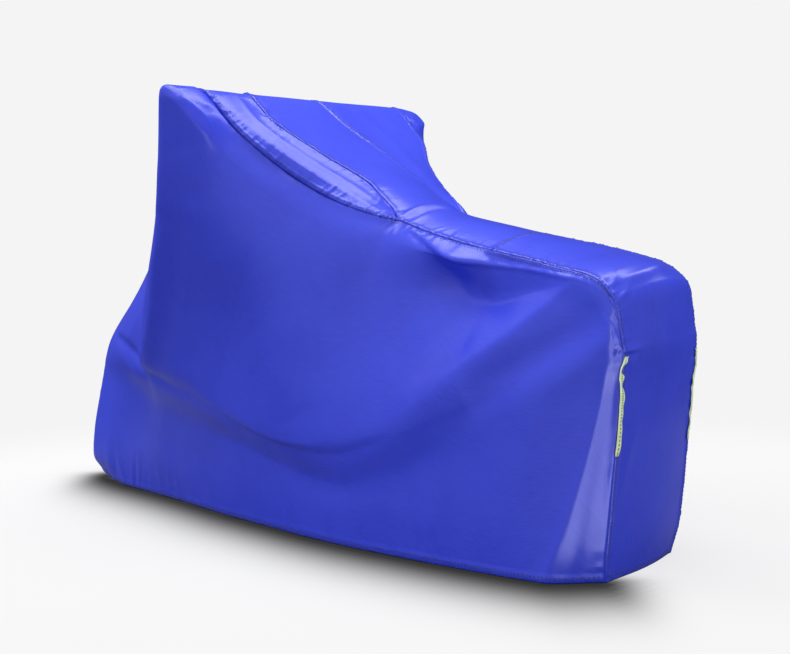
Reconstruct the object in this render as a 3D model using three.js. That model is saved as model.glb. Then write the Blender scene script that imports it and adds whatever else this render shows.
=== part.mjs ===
// Fitted cover for a motorcycle, as it hangs in use: two side panels, a long spine strip in two lengths,
// a shoulder gusset on each side of the handlebar and a reflective strip on each rear corner seam.
import * as THREE from "three";

// Sizes are in millimetres, over a floor at z = 0. The tail is towards +X and the left side towards -Y.
const clothThickness = 2;
const seamGap = 0.6; // clear space between two panels along a seam
const seatMount = { x: 430, z: 752 }; // under the middle of the seat, where the machine carries the cover

// Reflective strips, sewn on the rear face beside the corner seams.
const stripWidth = 14;
const stripInset = 1; // from the corner seam to the strip
const stripThickness = 1.2;
const stripClearance = 0.9; // between a strip and the cloth under it
const stripTop = 0.595; // shares of the rear edge, from its top corner down
const stripBottom = 0.81;

// Grid cells along the top edge, down a side panel between its levels, and across a strip or gusset.
const topCells = 40;
const levelCells = { edge: 1, shoulder: 2, hollow: 4, belly: 6, tuck: 3, skirt: 4, hem: 2 };
const spineCells = 6;
const gussetCells = 6;
const gussetTip = 14; // how far a gusset stops short of the point where its two seams meet

// Stations run along the top edge: 0 at the front apex, 1 at the rear top corner.
const gussetEnd = 0.625; // the rear apex, where the seat begins
const crossSeam = 0.8; // where the two lengths of the spine are joined

// The spine strip seen from the side, with its half widths to the left and right seam.
// Along the seat its left seam sags below the right one.
const spine = table(
  ["at", "x", "z", "leftOut", "rightOut", "leftSag"],
  [
    [0.0, -716, 648, 138, 138, 0],
    [0.1, -545, 785, 160, 116, 0],
    [0.2, -385, 985, 200, 66, 0],
    [0.26, -305, 1078, 218, 46, 0],
    [0.3, -240, 1104, 222, 40, 0],
    [0.36, -150, 1036, 216, 74, 0],
    [0.44, -20, 945, 163, 109, 0],
    [0.52, 100, 862, 102, 121, 0],
    [0.58, 182, 803, 113, 130, 0],
    [0.625, 232, 772, 138, 138, 0],
    [0.75, 430, 740, 145, 145, 20],
    [0.9, 700, 699, 150, 150, 29],
    [0.97, 808, 666, 152, 157, 22],
    [1.0, 850, 633, 153, 159, 29],
  ],
);

// How far the spine's middle stands above its seams.
// Stations below 0 go down the front edge and stations above 1 down the rear edge.
const spineCrown = table(
  ["at", "rise"],
  [
    [-1.0, 28],
    [-0.5, 40],
    [-0.2, 62],
    [0.0, 46],
    [0.2, 6],
    [0.3, 0],
    [0.44, 2],
    [0.58, 24],
    [0.625, 34],
    [0.75, 30],
    [0.9, 18],
    [1.0, 30],
    [1.2, 26],
    [1.7, 18],
    [2.0, 12],
  ],
);

// The lower seam of each gusset, and how far its slack rolls out, with the shares of that up, out and aft.
const rollUp = 0.28;
const rollOut = 0.68;
const rollAft = 0.68;
const rollTurn = 4; // how sharply it turns under, below its middle
const rollPeak = 0.535; // the height of the curve before it is scaled
const gussetColumns = ["at", "x", "out", "z", "roll"];
const leftGusset = table(gussetColumns, [
  [0.0, -716, 138, 648, 0],
  [0.1, -540, 190, 780, 0],
  [0.2, -375, 282, 985, 0],
  [0.26, -300, 345, 1082, 0],
  [0.3, -245, 371, 1106, 2],
  [0.36, -146, 325, 994, 12],
  [0.44, -30, 251, 885, 18],
  [0.52, 91, 207, 817, 10],
  [0.58, 186, 173, 784, 5],
  [0.625, 232, 138, 772, 0],
]);
const rightGusset = table(gussetColumns, [
  [0.0, -716, 138, 648, 0],
  [0.1, -540, 175, 780, 0],
  [0.2, -375, 250, 988, 0],
  [0.26, -300, 318, 1080, 0],
  [0.3, -245, 370, 1107, 2],
  [0.36, -145, 364, 1024, 6],
  [0.44, -25, 273, 928, 8],
  [0.52, 95, 206, 847, 8],
  [0.58, 178, 170, 804, 4],
  [0.625, 232, 138, 772, 0],
]);

// The drop of each side panel: a row for each rib, from the top edge down to the swag's tuck.
// "Out" is the distance from the middle plane, "drop" is down from the level above, "up" is over the floor.
// A rib with a swing over 1 leaves the top edge steeply and turns towards its belly lower down.
const tuckDrop = 85; // from the belly line of the swag down to the tuck under it
const ribColumns = [
  "at",
  "edgeOut",
  "edgeDrop",
  "shoulderOut",
  "shoulderDrop",
  "hollowOut",
  "hollowDrop",
  "swing",
  "bellyX",
  "bellyOut",
  "bellyUp",
  "tuckOut",
];
const leftRibs = table(ribColumns, [
  [0.0, 139, 14, 142, 30, 150, 85, 1.0, -884, 160, 396, 168],
  [0.06, 174, 16, 182, 36, 200, 105, 1.05, -868, 207, 400, 210],
  [0.12, 214, 18, 228, 40, 244, 150, 1.15, -818, 238, 398, 226],
  [0.2, 292, 18, 312, 36, 318, 170, 1.6, -705, 276, 388, 250],
  [0.26, 385, 4, 425, 26, 404, 200, 1.6, -600, 308, 370, 272],
  [0.3, 466, -3, 490, 22, 464, 232, 1.6, -500, 334, 348, 290],
  [0.33, 412, 4, 448, 26, 434, 199, 1.6, -435, 337, 334, 292],
  [0.36, 336, 14, 368, 44, 392, 160, 1.6, -365, 338, 320, 295],
  [0.44, 261, 14, 290, 44, 330, 140, 1.6, -190, 341, 282, 301],
  [0.52, 216, 14, 244, 42, 286, 130, 1.6, 0, 340, 242, 309],
  [0.58, 181, 12, 210, 38, 252, 125, 1.6, 120, 337, 228, 313],
  [0.625, 149, 9, 180, 32, 228, 120, 1.6, 195, 334, 226, 315],
  [0.67, 158, 10, 188, 32, 206, 92, 1.6, 280, 326, 246, 312],
  [0.75, 164, 8, 197, 30, 174, 64, 1.6, 425, 306, 302, 297],
  [0.82, 151, 11, 160, 17, 170, 54, 1.6, 560, 278, 366, 276],
  [0.88, 153, 9, 158, 11, 166, 37, 1.6, 680, 243, 430, 254],
  [0.95, 155, 8, 159, 11, 165, 40, 1.1, 866, 170, 490, 178],
  [1.0, 153, 10, 155, 22, 156, 58, 0.7, 880, 158, 485, 160],
]);
const rightRibs = table(ribColumns, [
  [0.0, 139, 14, 142, 30, 150, 85, 1.0, -884, 160, 396, 168],
  [0.06, 166, 16, 178, 36, 198, 105, 1.05, -868, 208, 410, 212],
  [0.12, 198, 18, 214, 40, 240, 150, 1.15, -818, 240, 416, 230],
  [0.2, 262, 18, 296, 36, 316, 170, 1.6, -705, 280, 408, 258],
  [0.26, 352, 10, 405, 30, 400, 195, 1.6, -600, 312, 392, 280],
  [0.3, 444, 5, 488, 32, 472, 200, 1.6, -500, 334, 372, 298],
  [0.33, 406, 8, 446, 36, 448, 185, 1.6, -435, 336, 358, 300],
  [0.36, 377, 16, 398, 42, 418, 170, 1.6, -365, 336, 346, 302],
  [0.44, 284, 14, 307, 44, 334, 150, 1.6, -190, 336, 314, 306],
  [0.52, 217, 14, 243, 40, 286, 130, 1.6, 0, 330, 286, 308],
  [0.58, 182, 12, 212, 36, 250, 125, 1.6, 120, 326, 276, 308],
  [0.625, 154, 10, 184, 32, 212, 120, 1.6, 195, 320, 272, 306],
  [0.75, 162, 10, 192, 34, 190, 80, 1.6, 425, 298, 322, 294],
  [0.88, 162, 8, 184, 22, 184, 50, 1.6, 680, 256, 420, 264],
  [0.95, 158, 8, 168, 16, 172, 48, 1.0, 845, 178, 480, 190],
  [1.0, 159, 10, 159, 22, 158, 58, 0.6, 878, 156, 485, 154],
]);

// The foot of each side panel: where its wall would meet the floor, and how far the elastic draws it in.
const hemHeight = 80; // the elastic draws in the cloth below this height
const hemColumns = ["at", "x", "out", "up", "drawX", "drawIn"];
const leftHem = table(hemColumns, [
  [0.0, -1016, 152, 20, 50, 10],
  [0.06, -985, 198, 18, 38, 26],
  [0.12, -900, 214, 8, 20, 18],
  [0.2, -768, 220, 0, 4, 4],
  [0.3, -570, 238, 0, 0, 2],
  [0.44, -212, 290, 0, 0, 2],
  [0.625, 195, 326, 0, 0, 3],
  [0.75, 425, 319, 0, 0, 3],
  [0.88, 655, 300, 0, 0, 3],
  [0.95, 768, 281, 0, 0, 3],
  [1.0, 862, 192, 0, 0, 2],
]);
const rightHem = table(hemColumns, [
  [0.0, -1016, 152, 20, 50, 10],
  [0.06, -985, 198, 18, 38, 26],
  [0.12, -900, 214, 8, 20, 18],
  [0.2, -768, 222, 0, 4, 6],
  [0.3, -570, 244, 0, 0, 6],
  [0.44, -212, 290, 0, 0, 6],
  [0.625, 195, 314, 0, 0, 6],
  [0.75, 425, 304, 0, 0, 8],
  [0.88, 645, 276, 0, -4, 12],
  [0.95, 755, 240, 0, -6, 12],
  [1.0, 838, 150, 0, -12, 6],
]);

// Folds that cross the ribs, in the side view: a line from a start to an end, with a width and a height.
// They taper off at both ends, and fade out towards the sewn edges.
const foldTaper = 0.7;
const edgeFade = 0.5;
const foldColumns = ["x", "z", "toX", "toZ", "width", "height"];
const leftFolds = [
  [-200, 960, 60, 300, 110, 16],
  [-290, 800, -330, 380, 90, -14],
  [-300, 780, -530, 340, 40, 20],
  [-430, 780, -660, 360, 48, -20],
  [870, 645, 340, 320, 60, 9],
  [890, 580, 380, 255, 52, -14],
  [905, 612, 540, 380, 46, -20],
].map((row) => named(foldColumns, row));
const rightFolds = [
  [-180, 940, 40, 330, 120, 14],
  [790, 590, 330, 300, 80, -14],
].map((row) => named(foldColumns, row));

const left = {
  sign: -1,
  seam: "leftOut",
  sags: true,
  gusset: leftGusset,
  ribs: leftRibs,
  hem: leftHem,
  folds: leftFolds,
};
const right = {
  sign: 1,
  seam: "rightOut",
  sags: false,
  gusset: rightGusset,
  ribs: rightRibs,
  hem: rightHem,
  folds: rightFolds,
};

// Blue coated polyester, and yellow-green reflective tape.
const cloth = { color: 0x3c48d2, roughness: 0.5, metalness: 0 };
const tape = { color: 0xd6f08a, roughness: 0.35, metalness: 0 };

// Tables and curves

function named(columns, row) {
  return Object.fromEntries(columns.map((column, i) => [column, row[i]]));
}

// A table read at any place between its rows, each column by a monotone cubic curve.
function table(columns, rows) {
  const places = rows.map((row) => row[0]);
  const curve = (i) => monotone(places, rows.map((row) => row[i]));
  const curves = columns.slice(1).map((column, i) => [column, curve(i + 1)]);
  return (at) => Object.fromEntries(curves.map(([column, value]) => [column, value(at)]));
}

// A smooth curve through the points (xs, ys) that doesn't overshoot them.
function monotone(xs, ys) {
  const last = xs.length - 1;
  const step = (i) => xs[i + 1] - xs[i];
  const slope = (i) => (ys[i + 1] - ys[i]) / step(i);
  const tangents = xs.map((_, i) => {
    if (i === 0) return slope(0);
    if (i === last) return slope(last - 1);
    const before = slope(i - 1);
    const after = slope(i);
    if (before * after <= 0) return 0;
    const a = 2 * step(i) + step(i - 1);
    const b = step(i) + 2 * step(i - 1);
    return (a + b) / (a / before + b / after);
  });
  return (x) => {
    let i = 0;
    while (i < last - 1 && x > xs[i + 1]) i += 1;
    const h = step(i);
    const t = THREE.MathUtils.clamp((x - xs[i]) / h, 0, 1);
    const rise = t * t * (3 - 2 * t);
    const lean = t * (1 - t) * ((1 - t) * tangents[i] - t * tangents[i + 1]) * h;
    return ys[i] + (ys[i + 1] - ys[i]) * rise + lean;
  };
}

// The form of the cloth

const sideCells = Object.values(levelCells).reduce((sum, cells) => sum + cells, 0);
const levels = [0];
Object.values(levelCells).forEach((cells) => levels.push(levels.at(-1) + cells / sideCells));
const shoulderLevel = levels[2];

function spineSeam(side, at) {
  const row = spine(at);
  return { x: row.x, out: row[side.seam], z: side.sags ? row.z - row.leftSag : row.z };
}

// The upper edge of a side panel: the spine's seam, or the gusset's lower seam where there is a gusset.
function topEdge(side, at) {
  return at < gussetEnd ? side.gusset(at) : spineSeam(side, at);
}

function foldHeight(folds, x, z) {
  return folds.reduce((sum, fold) => {
    const along = new THREE.Vector2(fold.toX - fold.x, fold.toZ - fold.z);
    const place = new THREE.Vector2(x - fold.x, z - fold.z);
    const share = place.dot(along) / along.lengthSq();
    const across = place.cross(along) / along.length() / fold.width;
    const fade = Math.sin(Math.PI * THREE.MathUtils.clamp(share, 0, 1)) ** foldTaper;
    return sum + fold.height * fade * Math.exp(-across * across);
  }, 0);
}

// A point of a side panel: at runs from the front edge to the rear edge, down from the top edge to the hem.
function sidePoint(side, at, down) {
  const top = topEdge(side, at);
  const rib = side.ribs(at);
  const hem = side.hem(at);
  const edgeZ = top.z - rib.edgeDrop;
  const shoulderZ = edgeZ - rib.shoulderDrop;
  const hollowZ = shoulderZ - rib.hollowDrop;
  const tuckZ = rib.bellyUp - tuckDrop;
  const heights = [top.z, edgeZ, shoulderZ, hollowZ, rib.bellyUp, tuckZ, hemHeight, hem.up];

  const swing = (z) => {
    const share = Math.max(0, top.z - z) / (top.z - rib.bellyUp);
    return top.x + (rib.bellyX - top.x) * share ** rib.swing;
  };
  const foot = (z) => THREE.MathUtils.mapLinear(z, rib.bellyUp, 0, rib.bellyX, hem.x);
  const xs = heights.map((z) => (z > rib.bellyUp ? swing(z) : foot(z)));
  xs[xs.length - 1] += hem.drawX;

  const skirtOut = THREE.MathUtils.mapLinear(hemHeight, tuckZ, 0, rib.tuckOut, hem.out);
  const outs = [
    top.out,
    rib.edgeOut,
    rib.shoulderOut,
    rib.hollowOut,
    rib.bellyOut,
    rib.tuckOut,
    skirtOut,
    hem.out - hem.drawIn,
  ];

  const x = monotone(levels, xs)(down);
  const z = monotone(levels, heights)(down);
  const fade = Math.sin(Math.PI * at) ** edgeFade * THREE.MathUtils.smoothstep(down, 0, shoulderLevel);
  const out = monotone(levels, outs)(down) + foldHeight(side.folds, x, z) * fade;
  return new THREE.Vector3(x, side.sign * out, z);
}

// A seam of the spine, down the front edge, along the top and down the rear edge.
function seamPoint(side, at) {
  if (at < 0) return sidePoint(side, 0, -at);
  if (at > 1) return sidePoint(side, 1, at - 1);
  const row = spineSeam(side, at);
  return new THREE.Vector3(row.x, side.sign * row.out, row.z);
}

// The direction in which the spine faces.
function spineOutward(at) {
  const step = 0.01;
  const middle = (place) => seamPoint(left, place).add(seamPoint(right, place));
  const run = middle(Math.min(at + step, 2)).sub(middle(Math.max(at - step, -1)));
  return new THREE.Vector3(-run.z, 0, run.x).normalize();
}

// A point of the spine, across from the left seam at 0 to the right seam at 1, with its middle raised.
function spinePoint(at, across) {
  const rise = spineCrown(at).rise * 4 * across * (1 - across);
  return seamPoint(left, at).lerp(seamPoint(right, at), across).addScaledVector(spineOutward(at), rise);
}

// A point of a gusset, down from the spine's seam at 0 to its lower seam at 1. Its slack rolls up and out.
function gussetPoint(side, at, down) {
  const edge = side.gusset(at);
  const lower = new THREE.Vector3(edge.x, side.sign * edge.out, edge.z);
  const roll = new THREE.Vector3(rollAft, side.sign * rollOut, rollUp);
  roll.multiplyScalar((edge.roll * down * (1 - down ** rollTurn)) / rollPeak);
  return seamPoint(side, at).lerp(lower, down).add(roll);
}

// Panels as grids of points, sampled alike along the seams that they share

const frontStations = steps(sideCells).map((share) => share - 1);
const topStations = steps(topCells);
const rearStations = steps(sideCells).map((share) => share + 1);
const spineStations = [...frontStations, ...topStations.slice(1), ...rearStations.slice(1)];

function steps(cells) {
  return Array.from({ length: cells + 1 }, (_, i) => i / cells);
}

function grid(stations, shares, point) {
  return stations.map((at) => shares.map((share) => point(at, share)));
}

function sideGrid(side) {
  return grid(topStations, steps(sideCells), (at, down) => sidePoint(side, at, down));
}

function spineGrid(from, to) {
  const stations = spineStations.filter((at) => at >= from && at <= to);
  return grid(stations, steps(spineCells), spinePoint);
}

// A gusset's first and last columns are drawn together into its two tips.
function gussetGrid(side) {
  const stations = topStations.filter((at) => at <= gussetEnd);
  const points = grid(stations, steps(gussetCells), (at, down) => gussetPoint(side, at, down));
  const drawTogether = (column, next) => {
    const inward = next[gussetCells / 2].clone().sub(column[0]).setLength(gussetTip);
    const tip = column[0].clone().add(inward);
    column.forEach((point) => point.copy(tip));
  };
  drawTogether(points[0], points[1]);
  drawTogether(points.at(-1), points.at(-2));
  return points;
}

// Two triangles for each cell of a grid, leaving out those that a tip makes empty.
function gridTriangles(points, flip) {
  const rows = points[0].length;
  const triangles = [];
  for (let i = 0; i + 1 < points.length; i += 1) {
    for (let j = 0; j + 1 < rows; j += 1) {
      const [a, b, c, d] = [i * rows + j, (i + 1) * rows + j, (i + 1) * rows + j + 1, i * rows + j + 1];
      triangles.push(flip ? [a, c, b] : [a, b, c], flip ? [a, d, c] : [a, c, d]);
    }
  }
  const flat = points.flat();
  const apart = (i, j) => flat[i].distanceTo(flat[j]) > samePlace;
  return triangles.filter(([a, b, c]) => apart(a, b) && apart(b, c) && apart(c, a));
}

// Points that are nearer than this count as one.
const samePlace = 0.02;
const placeKey = (point) => point.toArray().map((value) => Math.round(value / samePlace)).join(" ");

// Outward directions at every point of the whole cover, shared by the panels that meet there.
function sharedNormals(panels) {
  const sums = new Map();
  for (const panel of panels) {
    const flat = panel.points.flat();
    for (const triangle of gridTriangles(panel.points, panel.flip)) {
      const [a, b, c] = triangle.map((i) => flat[i]);
      const normal = b.clone().sub(a).cross(c.clone().sub(a));
      for (const corner of [a, b, c]) {
        const key = placeKey(corner);
        sums.set(key, (sums.get(key) ?? new THREE.Vector3()).add(normal));
      }
    }
  }
  sums.forEach((sum) => sum.normalize());
  return (point) => sums.get(placeKey(point));
}

// The outer face of a panel, drawn back from its seams by half the gap.
function drawnBack(points, openSides) {
  const lastColumn = points.length - 1;
  const lastRow = points[0].length - 1;
  const moved = points.map((column) => column.map((point) => point.clone()));
  const pull = (i, j, inI, inJ) => {
    const inward = points[inI][inJ].clone().sub(points[i][j]);
    if (inward.length() > samePlace) moved[i][j].addScaledVector(inward.normalize(), seamGap / 2);
  };
  for (let j = 0; j <= lastRow; j += 1) {
    if (!openSides.includes("start")) pull(0, j, 1, j);
    if (!openSides.includes("end")) pull(lastColumn, j, lastColumn - 1, j);
  }
  for (let i = 0; i <= lastColumn; i += 1) {
    if (!openSides.includes("near")) pull(i, 0, i, 1);
    if (!openSides.includes("far")) pull(i, lastRow, i, lastRow - 1);
  }
  return moved;
}

// A closed solid from an outer and an inner sheet of points, with a rim round its edge.
function sheetSolid(outer, inner, flip) {
  const outerFlat = outer.flat();
  const count = outerFlat.length;
  const triangles = gridTriangles(outer, flip);
  const edges = new Map();
  const edgeKey = (i, j) => [placeKey(outerFlat[i]), placeKey(outerFlat[j])].join("|");
  for (const [a, b, c] of triangles) {
    for (const [i, j] of [[a, b], [b, c], [c, a]]) edges.set(edgeKey(i, j), [i, j]);
  }
  const rim = [...edges.values()].filter(([i, j]) => !edges.has(edgeKey(j, i)));
  // Two panels split the rim along their seam the same way, so that their rims stay a gap apart.
  const rearwards = (i) => outerFlat[i].x + outerFlat[i].z;
  const rimTriangles = ([i, j]) =>
    rearwards(i) > rearwards(j)
      ? [i, i + count, j + count, i, j + count, j]
      : [i, i + count, j, j, i + count, j + count];
  const geometry = new THREE.BufferGeometry().setFromPoints([...outerFlat, ...inner.flat()]);
  geometry.setIndex([
    ...triangles.flat(),
    ...triangles.flatMap(([a, b, c]) => [a + count, c + count, b + count]),
    ...rim.flatMap(rimTriangles),
  ]);
  geometry.computeVertexNormals();
  return geometry;
}

function namedMesh(name, geometry, finish) {
  const mesh = new THREE.Mesh(geometry, new THREE.MeshStandardMaterial(finish));
  mesh.name = name;
  return mesh;
}

// The panels of the cover, each with the sides of its grid that are free and not sewn to another panel

const panels = [
  { name: "side_panel_left", points: sideGrid(left), flip: true, openSides: ["far"] },
  { name: "side_panel_right", points: sideGrid(right), flip: false, openSides: ["far"] },
  { name: "spine_front", points: spineGrid(-1, crossSeam), flip: false, openSides: ["start"] },
  { name: "spine_rear", points: spineGrid(crossSeam, 2), flip: false, openSides: ["end"] },
  { name: "gusset_left", points: gussetGrid(left), flip: true, openSides: ["start", "end"] },
  { name: "gusset_right", points: gussetGrid(right), flip: false, openSides: ["start", "end"] },
];
const outwardAt = sharedNormals(panels);

function panelMesh(panel) {
  const outer = drawnBack(panel.points, panel.openSides);
  const inner = outer.map((column, i) =>
    column.map((point, j) => point.clone().addScaledVector(outwardAt(panel.points[i][j]), -clothThickness)),
  );
  return namedMesh(panel.name, sheetSolid(outer, inner, panel.flip), cloth);
}

// A strip lies on the spine's rear face, from its corner seam inwards.
function stripMesh(name, side) {
  const across = (share) => (side === left ? share : 1 - share);
  const stations = rearStations.filter((at) => at - 1 >= stripTop && at - 1 <= stripBottom);
  const sheet = (lift) =>
    stations.map((at) => {
      const seam = spinePoint(at, across(0));
      const inward = spinePoint(at, across(1 / spineCells)).sub(seam).normalize();
      const lifted = seam.addScaledVector(spineOutward(at), lift);
      const edge = (reach) => lifted.clone().addScaledVector(inward, reach);
      return [edge(stripInset), edge(stripInset + stripWidth)];
    });
  const solid = sheetSolid(sheet(stripClearance + stripThickness), sheet(stripClearance), side === right);
  return namedMesh(name, solid, tape);
}

const cover = new THREE.Group();
cover.add(...panels.map(panelMesh));
cover.add(stripMesh("reflective_strip_left", left), stripMesh("reflective_strip_right", right));
cover.position.set(-seatMount.x, 0, -seatMount.z);

const part = new THREE.Group();
part.add(cover);

export default part;
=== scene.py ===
import math
import random

import bmesh
import bpy
import numpy as np
from mathutils import Matrix, Vector


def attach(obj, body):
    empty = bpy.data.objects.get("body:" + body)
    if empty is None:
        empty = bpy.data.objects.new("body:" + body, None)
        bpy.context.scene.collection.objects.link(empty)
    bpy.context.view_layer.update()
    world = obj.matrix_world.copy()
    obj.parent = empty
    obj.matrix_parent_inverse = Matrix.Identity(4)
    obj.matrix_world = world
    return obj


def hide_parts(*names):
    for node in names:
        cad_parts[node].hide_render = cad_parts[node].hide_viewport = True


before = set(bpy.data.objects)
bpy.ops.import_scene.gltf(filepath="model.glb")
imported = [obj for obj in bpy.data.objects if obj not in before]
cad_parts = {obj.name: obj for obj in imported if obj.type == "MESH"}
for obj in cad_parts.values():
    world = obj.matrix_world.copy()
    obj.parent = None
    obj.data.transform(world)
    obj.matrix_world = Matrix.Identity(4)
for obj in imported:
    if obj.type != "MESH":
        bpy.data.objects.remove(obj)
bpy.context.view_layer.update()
print("frame loaded:", len(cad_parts), "nodes")

# Lengths are in mm over a floor at z = 0. The tail is towards +X and the left side towards -Y.
seatMount = np.array([430, 0, 752])  # the frame's origin, under the middle of the seat
metresPerMm, mmPerMetre = 0.001, 1000


def toFrame(points):
    return (np.asarray(points) - seatMount) * metresPerMm


# Curves and tables

def monotone(xs, ys):  # smooth curve through the points that doesn't overshoot them
    xs, ys = np.asarray(xs, float), np.asarray(ys, float)
    step = np.diff(xs)
    slope = np.diff(ys) / step
    tangent = np.zeros(len(xs))
    tangent[0], tangent[-1] = slope[0], slope[-1]
    for i in range(1, len(xs) - 1):
        before, after = slope[i - 1], slope[i]
        if before * after > 0:
            a = 2 * step[i] + step[i - 1]
            b = step[i] + 2 * step[i - 1]
            tangent[i] = (a + b) / (a / before + b / after)

    def value(x):
        i = np.clip(np.searchsorted(xs, x) - 1, 0, len(xs) - 2)
        t = np.clip((x - xs[i]) / step[i], 0, 1)
        rise = t * t * (3 - 2 * t)
        lean = t * (1 - t) * ((1 - t) * tangent[i] - t * tangent[i + 1]) * step[i]
        return ys[i] + (ys[i + 1] - ys[i]) * rise + lean

    return value


def readTable(columns, rows):
    places = [row[0] for row in rows]
    curves = {name: monotone(places, [row[k] for row in rows]) for k, name in enumerate(columns)}
    return lambda at: {name: curve(at) for name, curve in curves.items()}


def smoothStep(x, low, high):
    t = np.clip((x - low) / (high - low), 0, 1)
    return t * t * (3 - 2 * t)


def mapLinear(x, a, b, toA, toB):
    return toA + (x - a) * (toB - toA) / (b - a)


# The form of the cover. Stations run along the top edge: 0 at the front apex, 1 at the rear top corner.
gussetEnd = 0.625  # the rear apex, where the seat begins
crossSeam = 0.8  # where the two lengths of the spine are joined

# The spine strip from the side, with its half widths to the left and right seam.
# Along the seat its left seam sags below the right one.
spine = readTable(["at", "x", "z", "left", "right", "leftSag"], [
    [0.0, -716, 648, 138, 138, 0],
    [0.1, -545, 785, 160, 116, 0],
    [0.2, -385, 985, 200, 66, 0],
    [0.26, -305, 1078, 218, 46, 0],
    [0.3, -240, 1104, 222, 40, 0],
    [0.36, -150, 1036, 216, 74, 0],
    [0.44, -20, 945, 163, 109, 0],
    [0.52, 100, 862, 102, 121, 0],
    [0.58, 182, 803, 113, 130, 0],
    [0.625, 232, 772, 138, 138, 0],
    [0.75, 430, 740, 145, 145, 20],
    [0.9, 700, 699, 150, 150, 29],
    [0.97, 808, 666, 152, 157, 22],
    [1.0, 850, 633, 153, 159, 29],
])

# How far its middle stands above the seams. Below 0 is down the front, above 1 down the rear.
spineCrown = readTable(["at", "rise"], [
    [-1.0, 28], [-0.5, 40], [-0.2, 62], [0.0, 46], [0.2, 6], [0.3, 0], [0.44, 2],
    [0.58, 24], [0.625, 34], [0.75, 30], [0.9, 18], [1.0, 30], [1.2, 26], [1.7, 18], [2.0, 12],
])

# The lower seam of each gusset, and how far its slack rolls over. The roll has a way that it leans and a
# profile down the gusset, which turns under near the seam.
gussetRoll = {"aft": 0.68, "out": 0.68, "up": 0.28, "turn": 4, "peak": 0.535}
gussetColumns = ["at", "x", "out", "z", "roll"]
gussetRows = {
    "left": readTable(gussetColumns, [
        [0.0, -716, 138, 648, 0],
        [0.1, -540, 190, 780, 0],
        [0.2, -375, 282, 985, 0],
        [0.26, -300, 345, 1082, 0],
        [0.3, -245, 371, 1106, 2],
        [0.36, -146, 325, 994, 12],
        [0.44, -30, 251, 885, 18],
        [0.52, 91, 207, 817, 10],
        [0.58, 186, 173, 784, 5],
        [0.625, 232, 138, 772, 0],
    ]),
    "right": readTable(gussetColumns, [
        [0.0, -716, 138, 648, 0],
        [0.1, -540, 175, 780, 0],
        [0.2, -375, 250, 988, 0],
        [0.26, -300, 318, 1080, 0],
        [0.3, -245, 370, 1107, 2],
        [0.36, -145, 364, 1024, 6],
        [0.44, -25, 273, 928, 8],
        [0.52, 95, 206, 847, 8],
        [0.58, 178, 170, 804, 4],
        [0.625, 232, 138, 772, 0],
    ]),
}

# The drop of each side panel, a row for each rib: out from the middle plane, down from the level above.
tuckDrop = 85  # from the belly line of the swag down to the tuck under it
ribColumns = ["at", "edgeOut", "edgeDrop", "shoulderOut", "shoulderDrop", "hollowOut", "hollowDrop",
              "swing", "bellyX", "bellyOut", "bellyUp", "tuckOut"]
ribRows = {
    "left": readTable(ribColumns, [
        [0.0, 139, 14, 142, 30, 150, 85, 1.0, -884, 160, 396, 168],
        [0.06, 174, 16, 182, 36, 200, 105, 1.05, -868, 207, 400, 210],
        [0.12, 214, 18, 228, 40, 244, 150, 1.15, -818, 238, 398, 226],
        [0.2, 292, 18, 312, 36, 318, 170, 1.6, -705, 276, 388, 250],
        [0.26, 385, 4, 425, 26, 404, 200, 1.6, -600, 308, 370, 272],
        [0.3, 466, -3, 490, 22, 464, 232, 1.6, -500, 334, 348, 290],
        [0.33, 412, 4, 448, 26, 434, 199, 1.6, -435, 337, 334, 292],
        [0.36, 336, 14, 368, 44, 392, 160, 1.6, -365, 338, 320, 295],
        [0.44, 261, 14, 290, 44, 330, 140, 1.6, -190, 341, 282, 301],
        [0.52, 216, 14, 244, 42, 286, 130, 1.6, 0, 340, 242, 309],
        [0.58, 181, 12, 210, 38, 252, 125, 1.6, 120, 337, 228, 313],
        [0.625, 149, 9, 180, 32, 228, 120, 1.6, 195, 334, 226, 315],
        [0.67, 158, 10, 188, 32, 206, 92, 1.6, 280, 326, 246, 312],
        [0.75, 164, 8, 197, 30, 174, 64, 1.6, 425, 306, 302, 297],
        [0.82, 151, 11, 160, 17, 170, 54, 1.6, 560, 278, 366, 276],
        [0.88, 153, 9, 158, 11, 166, 37, 1.6, 680, 243, 430, 254],
        [0.95, 155, 8, 159, 11, 165, 40, 1.1, 866, 170, 490, 178],
        [1.0, 153, 10, 155, 22, 156, 58, 0.7, 880, 158, 485, 160],
    ]),
    "right": readTable(ribColumns, [
        [0.0, 139, 14, 142, 30, 150, 85, 1.0, -884, 160, 396, 168],
        [0.06, 166, 16, 178, 36, 198, 105, 1.05, -868, 208, 410, 212],
        [0.12, 198, 18, 214, 40, 240, 150, 1.15, -818, 240, 416, 230],
        [0.2, 262, 18, 296, 36, 316, 170, 1.6, -705, 280, 408, 258],
        [0.26, 352, 10, 405, 30, 400, 195, 1.6, -600, 312, 392, 280],
        [0.3, 444, 5, 488, 32, 472, 200, 1.6, -500, 334, 372, 298],
        [0.33, 406, 8, 446, 36, 448, 185, 1.6, -435, 336, 358, 300],
        [0.36, 377, 16, 398, 42, 418, 170, 1.6, -365, 336, 346, 302],
        [0.44, 284, 14, 307, 44, 334, 150, 1.6, -190, 336, 314, 306],
        [0.52, 217, 14, 243, 40, 286, 130, 1.6, 0, 330, 286, 308],
        [0.58, 182, 12, 212, 36, 250, 125, 1.6, 120, 326, 276, 308],
        [0.625, 154, 10, 184, 32, 212, 120, 1.6, 195, 320, 272, 306],
        [0.75, 162, 10, 192, 34, 190, 80, 1.6, 425, 298, 322, 294],
        [0.88, 162, 8, 184, 22, 184, 50, 1.6, 680, 256, 420, 264],
        [0.95, 158, 8, 168, 16, 172, 48, 1.0, 845, 178, 480, 190],
        [1.0, 159, 10, 159, 22, 158, 58, 0.6, 878, 156, 485, 154],
    ]),
}

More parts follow.
